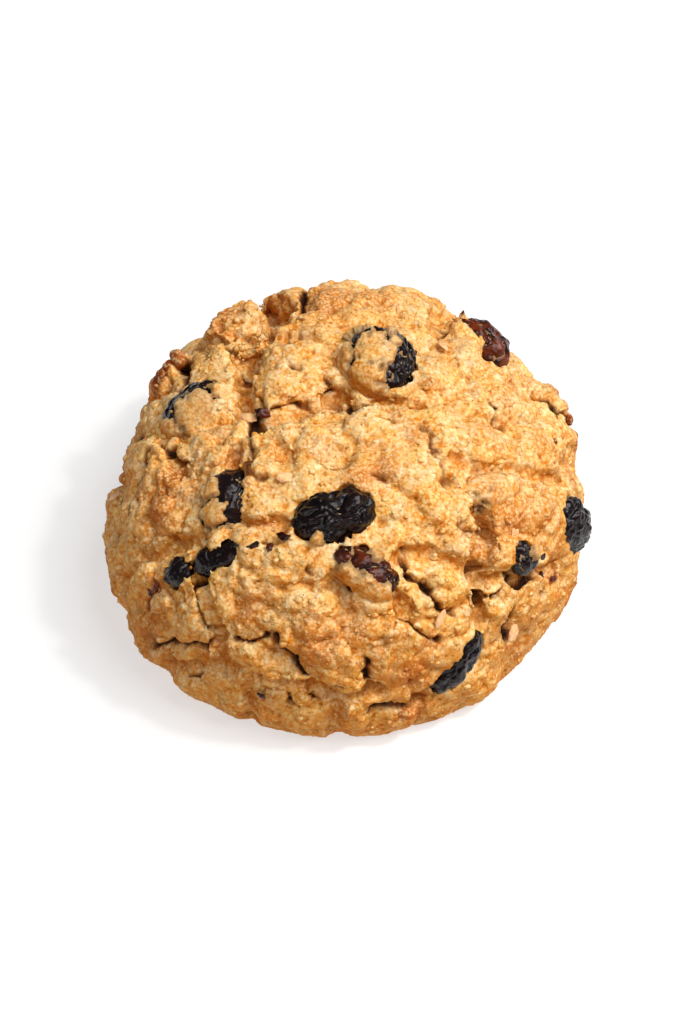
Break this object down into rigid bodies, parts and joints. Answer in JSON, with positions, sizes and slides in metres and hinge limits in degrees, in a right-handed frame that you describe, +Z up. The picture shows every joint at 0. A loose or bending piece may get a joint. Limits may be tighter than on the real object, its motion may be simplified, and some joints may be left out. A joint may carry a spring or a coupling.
{
  "type": "oatmeal raisin cookie",
  "caption": "Tall round drop cookie of oat dough baked in craggy clumps, with dark plump raisins set into its cracks and sides; flat underside to rest on.",
  "frame": {"origin": "on the tray side, at the middle of the bounding box of the whole cookie", "axes": "+Z up from the tray, +X to the cookie's right and +Y to its back as it is shown, -Y its front"},
  "size_m": [0.0852, 0.0903, 0.0443],
  "materials": {
    "baked_dough": "baked oat and brown sugar dough: golden crumbly clumps, browned on the high spots, pale crumb in the cracks, matte with small sugar glints",
    "raisin_skin": "wrinkled raisin skin, nearly black, glossy with a bluish shine and traces of dough",
    "red_raisin_skin": "wrinkled raisin skin, reddish brown, glossy and slightly see-through at its folds"
  },
  "bodies": {
    "root": {"dough": "baked_dough", "raisin_centre": "raisin_skin", "raisin_red": "red_raisin_skin", "raisin_ring": "raisin_skin", "raisin_back_right": "red_raisin_skin", "raisin_right": "raisin_skin", "raisin_hollow": "raisin_skin", "raisin_low_right": "raisin_skin", "raisin_slit": "raisin_skin", "raisin_cheek": "raisin_skin", "raisin_long_left": "raisin_skin", "raisin_small_left": "raisin_skin", "raisin_shoulder": "raisin_skin", "raisin_back_low": "raisin_skin", "raisin_back_left": "raisin_skin", "raisin_back_side": "raisin_skin", "raisin_far_right": "raisin_skin"}
  },
  "joints": []
}
